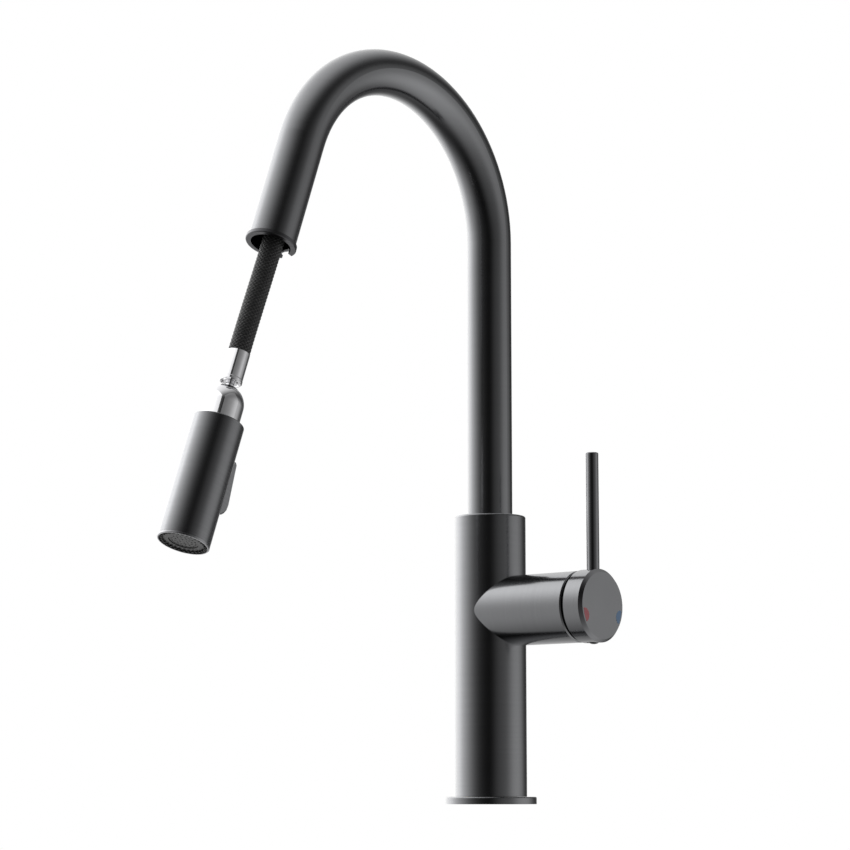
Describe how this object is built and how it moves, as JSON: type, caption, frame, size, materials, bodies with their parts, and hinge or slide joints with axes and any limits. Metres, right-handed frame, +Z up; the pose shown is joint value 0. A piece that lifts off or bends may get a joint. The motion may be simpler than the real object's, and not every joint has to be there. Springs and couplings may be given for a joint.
{
  "type": "pull down kitchen faucet",
  "caption": "Gooseneck kitchen faucet with a side lever and a spray head pulled down on its hose.",
  "frame": {"origin": "middle of the base flange's underside, on the deck", "axes": "+Z up the column, the spout points to -Y, the handle points to +X"},
  "size_m": [0.1166, 0.3119, 0.5657],
  "materials": {
    "gunmetal": "fine brushed gunmetal",
    "collar_metal": "bright turned edge",
    "chrome": "polished",
    "brass": "turned brass",
    "zinc_steel": "zinc plated",
    "rubber": "black rubber",
    "braid": "black nylon braid",
    "white_plastic": "acetal",
    "grey_plastic": "filled nylon",
    "black_plastic": "black plastic",
    "ceramic": "ground ceramic",
    "red_enamel": "red enamel",
    "blue_enamel": "blue enamel"
  },
  "bodies": {
    "column": {"base_flange": "gunmetal", "deck_seal": "rubber", "mounting_shank": "brass", "rubber_washer": "rubber", "steel_washer": "zinc_steel", "mounting_nut": "brass", "column_body": "gunmetal", "handle_boss": "gunmetal", "waterway_block": "grey_plastic", "hose_in_column": "braid", "hose_connector": "brass", "thrust_washer": "white_plastic", "lower_bearing": "white_plastic", "upper_bearing": "white_plastic", "spout_seal": "rubber", "cartridge_housing": "grey_plastic", "ceramic_disc_fixed": "ceramic", "cartridge_nut": "brass", "gap_ring": "black_plastic"},
    "spout": {"spout_tube": "gunmetal", "spout_collar": "collar_metal", "hose_in_spout": "braid"},
    "hose_end": {"pulled_hose": "braid", "hose_ferrule": "chrome"},
    "ball_stud": {"ball_stud": "chrome"},
    "spray_head": {"ball_seat": "white_plastic", "head_dome": "chrome", "head_shell": "gunmetal", "head_core": "grey_plastic", "check_valve": "white_plastic", "spray_nozzles": "rubber", "face_plate": "grey_plastic", "face_ring": "collar_metal", "aerator_insert": "grey_plastic", "rocker_pin": "zinc_steel"},
    "rocker": {"rocker_button": "gunmetal"},
    "plunger": {"diverter_plunger": "white_plastic"},
    "cartridge": {"cartridge_rotor": "white_plastic", "ceramic_disc_moving": "ceramic", "pivot_pin": "zinc_steel"},
    "handle": {"handle_cap": "gunmetal", "lever_rod": "gunmetal", "cartridge_lever": "zinc_steel", "grub_screw": "zinc_steel", "screw_plug": "black_plastic", "hot_mark": "red_enamel", "cold_mark": "blue_enamel"}
  },
  "joints": [
    {"name": "spout_swivel", "type": "hinge", "parent": "column", "child": "spout", "pos_m": [0, 0, 0.165], "axis": [0, 0, 1], "continuous": true},
    {"name": "hose_slide", "type": "slide", "parent": "spout", "child": "hose_end", "axis": [0, 0.3502, 0.9367], "range_m": [-0.3325, 0.1163], "deforming": ["pulled_hose"]},
    {"name": "head_spin", "type": "hinge", "parent": "hose_end", "child": "ball_stud", "pos_m": [0, -0.23103, 0.24608], "axis": [0, -0.3502, -0.9367], "range_deg": [-360, 360]},
    {"name": "head_tilt", "type": "hinge", "parent": "ball_stud", "child": "spray_head", "pos_m": [0, -0.23734, 0.22922], "axis": [1, 0, 0], "range_deg": [-15, 0]},
    {"name": "rocker_press", "type": "hinge", "parent": "spray_head", "child": "rocker", "pos_m": [0, -0.24548, 0.17888], "axis": [-1, 0, 0], "range_deg": [0, 6]},
    {"name": "diverter_slide", "type": "slide", "parent": "spray_head", "child": "plunger", "axis": [0, -0.9367, 0.3502], "range_m": [0, 0.00127]},
    {"name": "lever_temperature", "type": "hinge", "parent": "column", "child": "cartridge", "pos_m": [0.054, 0, 0.12], "axis": [1, 0, 0], "range_deg": [-45, 45]},
    {"name": "lever_flow", "type": "hinge", "parent": "cartridge", "child": "handle", "pos_m": [0.054, 0, 0.12], "axis": [0, 1, 0], "range_deg": [0, 15]}
  ],
  "couplings": [
    {"joint": "diverter_slide", "follows": "rocker_press", "m_per_rad": 0.012}
  ]
}
